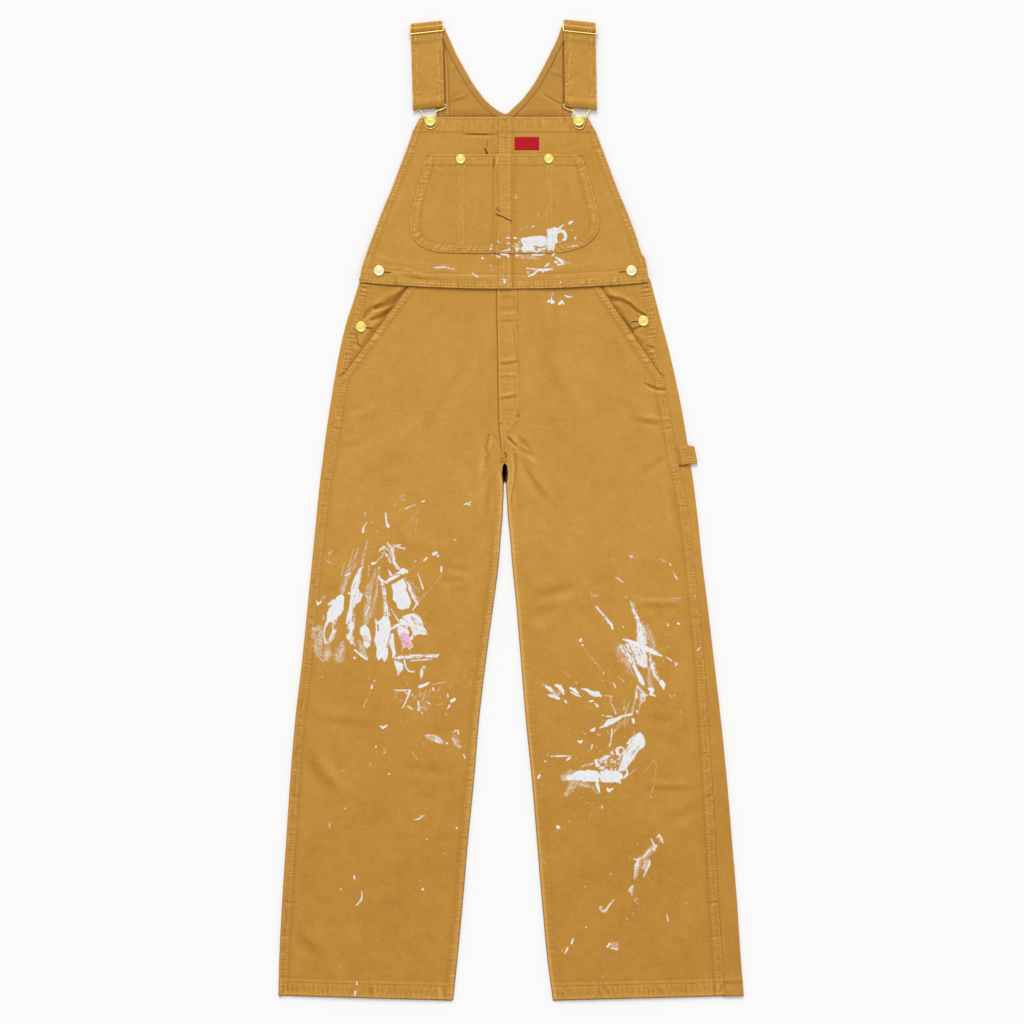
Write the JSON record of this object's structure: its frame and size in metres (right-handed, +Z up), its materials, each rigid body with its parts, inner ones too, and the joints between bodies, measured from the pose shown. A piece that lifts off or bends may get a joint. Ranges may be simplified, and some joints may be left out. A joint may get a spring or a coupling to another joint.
{
  "type": "paint spattered bib overalls laid flat",
  "caption": "Work overalls of tan cotton duck laid flat on their back: bib with wide pocket, buckled straps, slanted hip pockets, side loop, and white paint splashed over bib and knees.",
  "frame": {"origin": "middle of the garment's outline, on the ground plane that its back lies on", "axes": "+Y along the garment from the hems to the straps, +X to the right of one looking down on its front, +Z up out of its front"},
  "size_m": [0.6986, 1.4701, 0.0121],
  "materials": {
    "duck_outside": "washed tan cotton duck, dry and matt, with worn edges and white paint splashes",
    "duck_inside": "inner face of the tan cotton duck, a little duller",
    "brass": "bright brass-plated wire and stamped tack buttons",
    "red_label": "plain red woven ribbon, no lettering"
  },
  "bodies": {
    "root": {"front_leg_left": "duck_outside", "front_leg_right": "duck_outside", "back_leg_left": "duck_outside", "back_leg_right": "duck_outside", "back_yoke": "duck_inside", "neck_hem": "duck_inside", "pocket_facing_left": "duck_outside", "pocket_facing_right": "duck_outside", "bib_left": "duck_outside", "bib_right": "duck_outside", "bib_pocket": "duck_outside", "pocket_strip_left": "duck_outside", "pocket_strip_centre": "duck_outside", "pocket_strip_right": "duck_outside", "strap_left": "duck_outside", "strap_right": "duck_outside", "hammer_loop": "duck_outside", "label": "red_label", "slider_left": "brass", "buckle_left": "brass", "bib_button_left": "brass", "pocket_stud_left": "brass", "waist_button_left": "brass", "hip_button_left": "brass", "slider_right": "brass", "buckle_right": "brass", "bib_button_right": "brass", "pocket_stud_right": "brass", "waist_button_right": "brass", "hip_button_right": "brass"}
  },
  "joints": []
}
